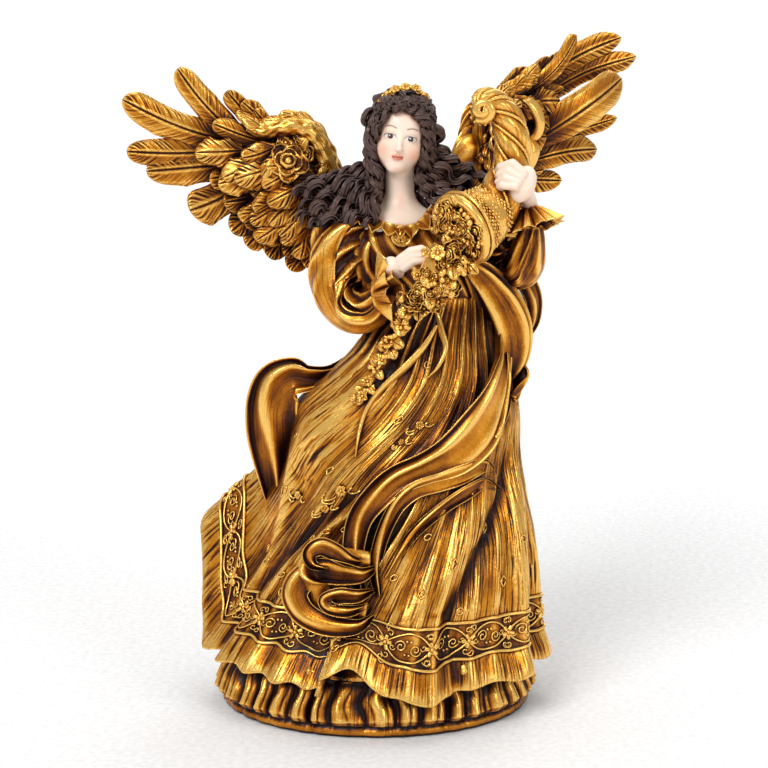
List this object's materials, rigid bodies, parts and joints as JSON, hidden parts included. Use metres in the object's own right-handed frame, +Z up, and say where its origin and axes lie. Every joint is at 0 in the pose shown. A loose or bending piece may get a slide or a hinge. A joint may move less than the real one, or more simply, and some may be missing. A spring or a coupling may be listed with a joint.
{
  "type": "angel figurine",
  "caption": "Free-standing resin angel in an antique-gold wind-blown gown, wings spread, holding a horn of plenty filled with flowers; painted face, hands and dark hair.",
  "frame": {"origin": "centre of the flat underside of the felt pad, on the surface the figurine stands on", "axes": "+Z up, +X towards the figure's left hand, -Y towards the viewer in front; the figure faces -Y"},
  "size_m": [0.2947, 0.1971, 0.3901],
  "materials": {
    "antique_gold": "cast resin, gold paint rubbed back over dark brown, satin",
    "bisque_paint": "cast resin painted a pale skin colour, blushed, satin",
    "dark_hair": "cast resin painted near-black brown, gloss on the raised strands",
    "felt": "pressed felt, glued on",
    "steel_pin": "plain drawn wire"
  },
  "bodies": {
    "root": {"right_wing_dowel": "steel_pin", "left_wing_dowel": "steel_pin", "neck_dowel": "steel_pin", "felt_pad": "felt", "base_plug": "antique_gold", "gown": "antique_gold", "petticoat": "antique_gold", "head": "bisque_paint", "bodice": "antique_gold", "collar_frill": "antique_gold", "left_hand": "bisque_paint", "right_hand": "bisque_paint", "horn_of_plenty": "antique_gold", "right_sleeve": "antique_gold", "left_sleeve": "antique_gold", "hair": "dark_hair", "flower_tiara": "antique_gold", "right_cuff": "antique_gold", "left_cuff": "antique_gold", "bouquet": "antique_gold", "leaf_trail": "antique_gold", "sash_front": "antique_gold", "sash_tail": "antique_gold", "sash_loop": "antique_gold", "sash_knot": "antique_gold", "right_wing": "antique_gold", "left_wing": "antique_gold"}
  },
  "joints": []
}
